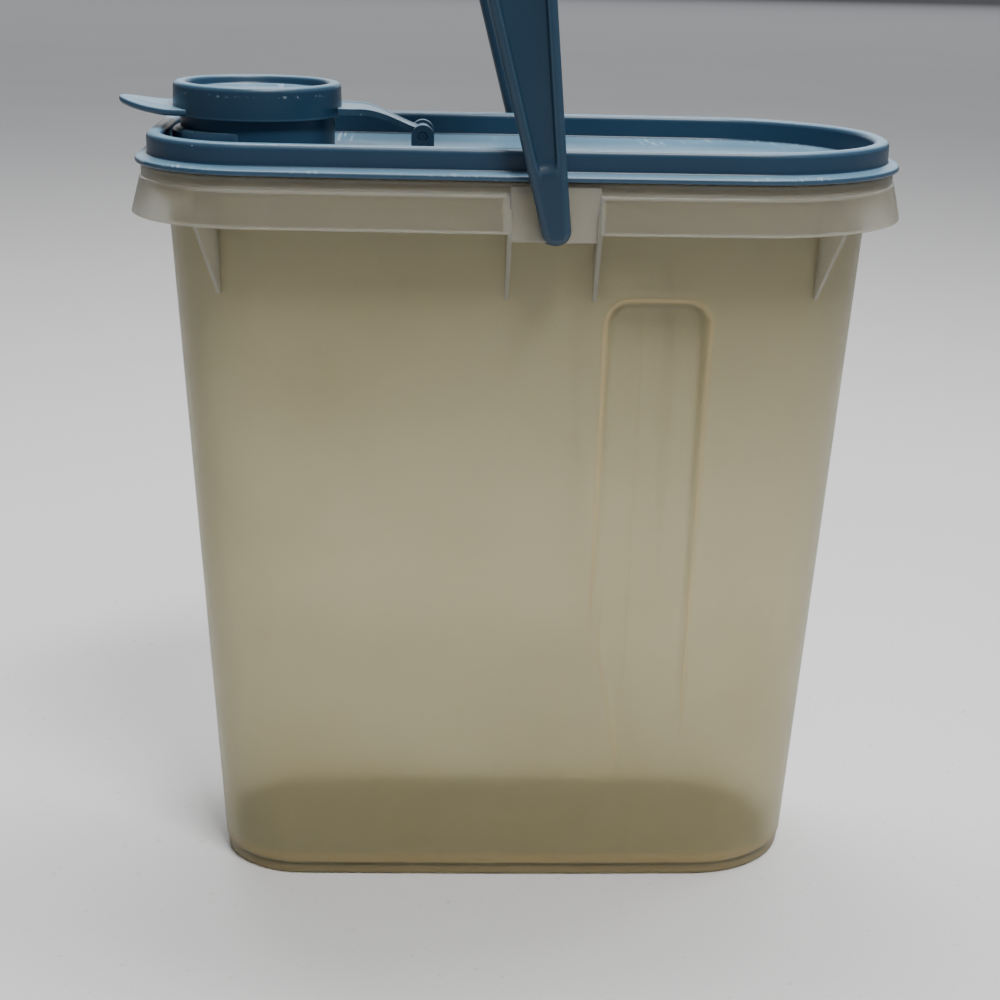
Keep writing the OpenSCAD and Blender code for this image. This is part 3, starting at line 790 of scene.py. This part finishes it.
collar_in, collar_out, collar_high = SPOUT_R / MM, COLLAR_R / MM, (COLLAR_TOP - LID_Z) / MM
collar_profile = eased(rounded(
    [(collar_in, 0), (collar_out, 0), (collar_out, FLOOR_T / MM), (collar_out, collar_high),
     (collar_in, collar_high)], [0, 0, 0, 0.9, 0.9])) * MM
collar = finish_mesh("spout_collar", *lathe(collar_profile, (SPOUT_X, 0, LID_Z)))
fit_piece(collar, "lid", "blue_plastic", lid_plastic, "lid")


def tube_faces(stations, count):
    """Faces of a tube through a row of equal sections, closed at both ends."""
    faces = []
    for i in range(stations - 1):
        for k in range(count):
            m = (k + 1) % count
            faces.append((i * count + k, (i + 1) * count + k, (i + 1) * count + m, i * count + m))
    faces.append(tuple(range(count)))
    faces.append(tuple((stations - 1) * count + k for k in range(count)))
    return faces


def pour_lip():
    """Crescent that thickens the collar towards the pouring end and slopes up to its edge."""
    steps, verts = 48, []
    section = ((0, 0.4), (0, 1), (0.35, 1), (0.75, 0.97), (1, 0.86), (1, 0.3), (0.55, 0.0), (0, 0.0))
    high = RING_TOP - 0.4 * MM - TRAY_Z + 0.3 * MM
    for i in range(steps + 1):
        a = math.radians(100 + 160 * i / steps)
        wide = 3.1 * MM * max(0.0, -math.cos(a)) ** 0.8 + 0.05 * MM
        for across, up in section:
            r = COLLAR_R - 0.6 * MM + across * wide
            verts.append((SPOUT_X + r * math.cos(a), r * math.sin(a), TRAY_Z - 0.3 * MM + high * up))
    return verts, tube_faces(steps + 1, len(section))


lip = finish_mesh("pour_lip", *pour_lip(), bend=40)
fit_piece(lip, "lid", "blue_plastic", lid_plastic, "lid")

# ---------------------------------------------------------------------------
# Hinge ears. Two small upright lugs moulded on the lid's floor; the cap's
# hinge pins snap into their holes, and the pin ends show from the side.
# ---------------------------------------------------------------------------
HINGE_X = -31.8 * MM
HINGE_Z = TRAY_Z + 5.6 * MM
EAR_R = 3.6 * MM
EAR_IN = 6.7 * MM
EAR_T = 2.6 * MM
HINGE_PIN_R = 1.4 * MM
PIN_GAP = 0.06 * MM

ear_edge = [(HINGE_X + EAR_R * math.cos(math.radians(a)), HINGE_Z + EAR_R * math.sin(math.radians(a)))
            for a in range(0, 181, 9)]
ear_edge += [(HINGE_X - EAR_R, TRAY_Z - 0.4 * MM), (HINGE_X + EAR_R, TRAY_Z - 0.4 * MM)]
ear = holed_plate("hinge_ear_front", ear_edge, (HINGE_X, HINGE_Z), HINGE_PIN_R + PIN_GAP,
                  -EAR_IN - EAR_T, -EAR_IN, steps=32)
fit_piece(ear, "lid", "blue_plastic", lid_plastic, "lid")
fit_piece(mirrored(ear, "hinge_ear_back"), "lid", "blue_plastic", lid_plastic, "lid")

# ---------------------------------------------------------------------------
# Flip cap. A shallow cup with a dished top and a plug that fits the collar; a
# thin thumb tab stands out at the pouring end, and a curved arm runs back to
# the hinge. All one moulding in the lid's blue.
# ---------------------------------------------------------------------------
CUP_R = 26.6 * MM
WALL_BITE = 0.8 * MM
CAP_TOP = COLLAR_TOP + 5.2 * MM
CAP_LOW = CAP_TOP - 10.1 * MM
ARM_END_HALF = 6.2 * MM
ARM_CAP_HALF = 13.5 * MM
TAB_T = 2 * MM

cap_plastic = blue_plastic("blue_cap_plastic", deep=(0.012, 0.038, 0.072, 1), worn=(0.08, 0.16, 0.24, 1),
                           scratch_turn=-0.4, scuffed=(CAP_TOP - 3.2 * MM, CAP_TOP - 2.4 * MM))
cap_profile = eased(rounded(
    [(0.0, -4.8), (19.3, -4.8), (18.9, -12.4), (20.2, -12.4), (21.3, -4.8), (24.9, -4.8), (24.9, -10.1),
     (26.6, -10.1), (26.3, 0.0), (22.5, 0.0), (21.9, -2.8), (0.0, -2.8)],
    [0, 0.4, 0.3, 0.3, 0.4, 0.4, 0.3, 0.35, 1.5, 1.2, 0.9, 0]), closed=False) * MM


def turned_cap():
    """The cap's round part; its profile starts and ends on the axis, so both ends close to a point."""
    rows, steps = [], 112
    verts = [(SPOUT_X, 0, CAP_TOP + cap_profile[0][1]), (SPOUT_X, 0, CAP_TOP + cap_profile[-1][1])]
    inner = cap_profile[1:-1]
    count = len(inner)
    for i in range(steps):
        a = 2 * math.pi * i / steps
        verts += [(SPOUT_X + r * math.cos(a), r * math.sin(a), CAP_TOP + h) for r, h in inner]
    for i in range(steps):
        a, b = 2 + i * count, 2 + (i + 1) % steps * count
        rows += [(a + k, b + k, b + k + 1, a + k + 1) for k in range(count - 1)]
        rows.append((0, b, a))
        rows.append((1, a + count - 1, b + count - 1))
    return verts, rows


cap = finish_mesh("flip_cap", *turned_cap(), bend=45)
fit_piece(cap, "spout_cap", "blue_plastic", cap_plastic, "spout_cap")


def thumb_tab():
    """Thin rounded tongue that leaves the cup's wall and curls slightly upward."""
    reach, half_w, start = 43.3 * MM, 17 * MM, 17.6 * MM
    ex = reach - start
    edge = ((1.6, 0), (0.5, 0.0), (0.12, 0.16), (0.0, 0.5), (0.12, 0.84), (0.5, 1.0), (1.6, 1.0))
    loops, steps = [], 96
    for inset, share in edge:
        row = []
        for i in range(steps):
            a = 2 * math.pi * i / steps
            x = -(start + (ex - inset * MM) * math.cos(a))
            y = (half_w - inset * MM) * math.sin(a)
            lift = 0.07 * max(0.0, -x - CUP_R) + 6 * max(0.0, -x - CUP_R) ** 2
            row.append((SPOUT_X + x, y, CAP_LOW + 0.3 * MM + TAB_T * share + lift))
        loops.append(row)
    faces = skin_faces(len(loops), steps)
    faces.append(tuple(range(steps)))
    faces.append(tuple((len(loops) - 1) * steps + i for i in range(steps)))
    return [v for row in loops for v in row], faces


def trimmed(verts, faces, centre, radius):
    """Move what lies within a radius of an upright axis out to it, so the tab ends inside the cup's wall."""
    moved = []
    for x, y, z in verts:
        dx = x - centre
        if math.hypot(dx, y) < radius:
            dx = -math.sqrt(radius ** 2 - y ** 2)
        moved.append((centre + dx, y, z))
    return moved, faces


tab = finish_mesh("thumb_tab", *trimmed(*thumb_tab(), SPOUT_X, CUP_R - WALL_BITE), bend=50)
fit_piece(tab, "spout_cap", "blue_plastic", cap_plastic, "spout_cap")


def hinge_arm():
    """Curved plate with thickened edges from the cup's wall down to the hinge barrel."""
    stations = 28
    start = SPOUT_X + CUP_R - WALL_BITE
    top_z = CAP_LOW + 3.2 * MM
    neck_x = HINGE_X - 6.8 * MM
    verts = []
    section = rounded([(-1, 0), (1, 0), (1, 1), (0.86, 1), (0.80, 0.82), (-0.80, 0.82), (-0.86, 1), (-1, 1)],
                      [0.02] * 8, 2)
    for i in range(stations + 1):
        s = i / stations
        x = start + (HINGE_X - start) * s
        drop = smoothstep((x - (HINGE_X - 20 * MM)) / (24 * MM))
        high = top_z - 0.3 * MM * s - (top_z - HINGE_Z - 1.6 * MM) * float(drop)
        thick = TAB_T * (1 - 0.1 * s)
        wide = smoothstep((neck_x - x) / (neck_x - start - 3 * MM))
        half = ARM_END_HALF + (ARM_CAP_HALF - ARM_END_HALF) * float(wide)
        verts += [(x, half * u, high - thick * (1 - v)) for u, v in section]
    return verts, tube_faces(stations + 1, len(section))


arm = finish_mesh("hinge_arm", *hinge_arm(), bend=35)
fit_piece(arm, "spout_cap", "blue_plastic", cap_plastic, "spout_cap")


def bar(name, r, y0, y1, centre, edge=0.3 * MM, steps=48):
    """Round bar along Y with softened ends, closed on its axis."""
    half = rounded([(0, y0), (r, y0), (r, y1), (0, y1)], [0, edge, edge, 0], 4)
    inner = half[1:-1]
    verts = [(centre[0], half[0][1], centre[1]), (centre[0], half[-1][1], centre[1])]
    count, faces = len(inner), []
    for i in range(steps):
        a = 2 * math.pi * i / steps
        verts += [(centre[0] + q * math.cos(a), h, centre[1] + q * math.sin(a)) for q, h in inner]
    for i in range(steps):
        a, b = 2 + i * count, 2 + (i + 1) % steps * count
        faces += [(a + k, b + k, b + k + 1, a + k + 1) for k in range(count - 1)]
        faces += [(0, b, a), (1, a + count - 1, b + count - 1)]
    return finish_mesh(name, verts, faces, bend=40)


barrel = bar("hinge_barrel", HINGE_PIN_R + 1.3 * MM, -ARM_END_HALF, ARM_END_HALF, (HINGE_X, HINGE_Z))
fit_piece(barrel, "spout_cap", "blue_plastic", cap_plastic, "spout_cap")
pin_end = EAR_IN + EAR_T - 0.25 * MM
hinge_pin = bar("hinge_pin", HINGE_PIN_R, -pin_end, pin_end, (HINGE_X, HINGE_Z), edge=0.35 * MM, steps=32)
fit_piece(hinge_pin, "spout_cap", "blue_plastic", cap_plastic, "spout_cap")

# ---------------------------------------------------------------------------
# Carry handle. One bail in a slightly darker blue: each arm is a long V of two
# round ribs with a thin web between, rising from a rounded end into a wide
# channelled grip. Moulded pins with button heads snap into the skirt's pads.
# ---------------------------------------------------------------------------
LEAN = math.radians(10)
HANDLE_REACH = 128 * MM
HANDLE_T = 4.2 * MM
ARM_IN = FLANGE_HALF_W + SKIRT_OUT + 0.7 * MM
ARM_MID = ARM_IN + HANDLE_T / 2
ARM_END_R = 4.3 * MM
ARM_SPREAD = 0.083
GRIP_HALF = 12.5 * MM
BEND_R = 24 * MM
WEB_START = 18 * MM
EDGE_W = 3.6 * MM
WEB_T = 1.4 * MM

handle_plastic = blue_plastic("blue_handle_plastic", deep=(0.012, 0.033, 0.060, 1),
                              worn=(0.06, 0.12, 0.18, 1))


def handle_path():
    """Middle line of the bail from the front arm's tip, up, across and down: (y, z, outward angle)."""
    r = BEND_R - HANDLE_T / 2
    crown = HANDLE_REACH + HANDLE_T / 2 + 0.3 * MM
    path = []
    for i in range(12):
        a = math.radians(90 * i / 12)
        path.append((-ARM_MID, -ARM_END_R * math.cos(a), 0.0))
    rise = crown - r
    path += [(-ARM_MID, rise * i / 80, 0.0) for i in range(80)]
    for i in range(25):
        a = math.radians(90 * i / 24)
        path.append((-ARM_MID + r - r * math.cos(a), rise + r * math.sin(a), a))
    half = ARM_MID - r
    path += [(-half + half * i / 12, crown, math.radians(90)) for i in range(1, 13)]
    return path + [(-y, z, math.pi - a) for y, z, a in path[-2::-1]]


def handle_section(z, side_share):
    """Half widths, tip rounding and web depth of the bail's section at a height above the pivot."""
    half = min(GRIP_HALF, ARM_END_R + ARM_SPREAD * max(z, 0))
    tip = 1.0
    if z < 0:
        half = math.sqrt(max(ARM_END_R ** 2 - z ** 2, 1e-9))
        edge = min(1.0, (ARM_END_R + z) / (HANDLE_T / 2))
        tip = math.sqrt(max(1 - (1 - edge) ** 2, 0.0004))
    gap = max(0.0, 2 * half - 2 * EDGE_W)
    opened = float(smoothstep((z - WEB_START + 1 * MM) / (3 * MM)))
    outer = opened * float(1 - smoothstep(side_share * 1.6))
    inner = opened * (1 + 0.35 * float(smoothstep(side_share)))
    return half, tip, outer, inner, gap


def handle_mesh():
    path, verts = handle_path(), []
    r = HANDLE_T / 2
    arc = 9
    lands = [1.0, 0.75, 0.5, 0.25, 0.0]
    for y, z, a in path:
        lift = min(a, math.pi - a) / math.radians(90)
        half, tip, outer, inner, gap = handle_section(z, lift)
        deep_out = (r - WEB_T / 2) * outer
        deep_in = (r - WEB_T / 2) * inner
        flat = max(0.0, half - r)
        slope_w = min(1.0 * MM, gap / 2)
        web = max(0.0, min(flat - 0.2 * MM, half - EDGE_W + 0.9 * MM))
        section = []
        for i in range(arc + 1):
            t = math.radians(-90 + 180 * i / arc)
            section.append((flat + (half - flat) * math.cos(t), r * math.sin(t)))
        for s in lands:
            section.append((max(web - slope_w * (1 - s), 0), r - deep_out * float(smoothstep(1 - s))))
        section += [(-u, v) for u, v in section[arc + 1:][::-1]]
        for i in range(arc + 1):
            t = math.radians(90 + 180 * i / arc)
            section.append((-flat + (half - flat) * math.cos(t), r * math.sin(t)))
        under = [(-max(web - slope_w * (1 - s), 0), -r + deep_in * float(smoothstep(1 - s))) for s in lands]
        section += under + [(-u, v) for u, v in under[::-1]]
        out_y, out_z = -math.cos(a), math.sin(a)
        for u, v in section:
            v *= tip
            verts.append((u, y + out_y * v, z + out_z * v))
    return verts, tube_faces(len(path), len(section))


def leaned(piece):
    """Tip an upright handle piece over to the handle's standing lean and set it on the pivot."""
    piece.data.transform(Matrix.Translation((PIVOT_X, 0, PIVOT_Z)) @ Matrix.Rotation(-LEAN, 4, "Y"))
    return piece


bail = leaned(finish_mesh("carry_handle", *handle_mesh(), bend=50))
fit_piece(bail, "handle", "blue_plastic", handle_plastic, "handle")
for side, name in ((-1, "front"), (1, "back")):
    spans = (("boss", ARM_END_R, PAD_OUT + 0.4 * MM, ARM_IN + 1 * MM, 0.5),
             ("pin", 2.5 * MM, PAD_OUT - PAD_T - 1 * MM, PAD_OUT + 1 * MM, 0.1),
             ("button", 5.6 * MM, PAD_OUT - PAD_T - 2 * MM, PAD_OUT - PAD_T - 0.5 * MM, 0.5))
    for part, r, near, far, edge in spans:
        ends = sorted((side * near, side * far))
        piece = bar(f"pivot_{part}_{name}", r, ends[0], ends[1], (0, 0), edge=edge * MM)
        fit_piece(leaned(piece), "handle", "blue_plastic", handle_plastic, "handle")

# ---------------------------------------------------------------------------
# Studio: pale worktop, soft overhead light, and the camera a little above.
# ---------------------------------------------------------------------------
stone = Shader("pale_worktop")
cloud = stone.noise(3, 4, 0.6)
fleck = stone.noise(260, 2, 0.6).ramp(0.66, 0.72)
stone_color = stone.blend(cloud * 0.5, (0.66, 0.67, 0.69, 1), (0.58, 0.59, 0.61, 1))
stone_color = stone.blend(fleck * 0.35, stone_color, (0.36, 0.36, 0.37, 1))
worktop = stone.output(stone.node("ShaderNodeBsdfPrincipled", {}, Base_Color=stone_color,
                                  Roughness=0.42 + 0.1 * cloud, Specular_IOR_Level=0.35))
bpy.ops.mesh.primitive_plane_add(size=60, location=(0, 0, 0))
floor = bpy.context.object
floor.name = "worktop"
floor.data.materials.append(worktop)

world = bpy.data.worlds.new("room")
bpy.context.scene.world = world
world.use_nodes = True
world.node_tree.nodes["Background"].inputs["Color"].default_value = (0.40, 0.41, 0.43, 1)
world.node_tree.nodes["Background"].inputs["Strength"].default_value = 0.3


def soft_light(name, place, aim, size, power, color):
    """Rectangular area light at a place, turned to face a point."""
    lamp = bpy.data.lights.new(name, "AREA")
    lamp.shape, lamp.size, lamp.size_y = "RECTANGLE", size[0], size[1]
    lamp.energy, lamp.color = power, color
    holder = bpy.data.objects.new(name, lamp)
    holder.location = place
    holder.rotation_euler = (Vector(aim) - Vector(place)).to_track_quat("-Z", "Y").to_euler()
    bpy.context.scene.collection.objects.link(holder)


WARM_WHITE = (1.0, 0.98, 0.95)
soft_light("overhead_front", (0.25, -0.70, 1.45), (0, 0, 0.1), (0.45, 0.30), 24, WARM_WHITE)
soft_light("overhead_back", (0.10, 0.35, 1.45), (0, 0.05, 0.2), (1.3, 0.5), 30, WARM_WHITE)
soft_light("back_panel", (0, 7.0, 1.90), (0, 0, 0.24), (9.0, 2.2), 90, (0.97, 0.98, 1.0))

CAMERA_PLACE = (-0.0332, -0.6131, 0.3101)
CAMERA_YAW = 0.0470
CAMERA_PITCH = 0.2991
CAMERA_ROLL = 0.0241
CAMERA_LENS = 68.4
ahead = Vector((math.sin(CAMERA_YAW) * math.cos(CAMERA_PITCH),
                math.cos(CAMERA_YAW) * math.cos(CAMERA_PITCH), -math.sin(CAMERA_PITCH)))
right = Vector((math.cos(CAMERA_YAW), -math.sin(CAMERA_YAW), 0))
up = right.cross(ahead)
right, up = (right * math.cos(CAMERA_ROLL) + up * math.sin(CAMERA_ROLL),
             up * math.cos(CAMERA_ROLL) - right * math.sin(CAMERA_ROLL))
lens = bpy.data.cameras.new("camera")
lens.lens, lens.sensor_width, lens.clip_start = CAMERA_LENS, 36, 0.01
camera = bpy.data.objects.new("camera", lens)
camera.matrix_world = Matrix.Translation(CAMERA_PLACE) @ Matrix(
    [[right[i], up[i], -ahead[i]] for i in range(3)]).to_4x4()
bpy.context.scene.collection.objects.link(camera)
bpy.context.scene.camera = camera
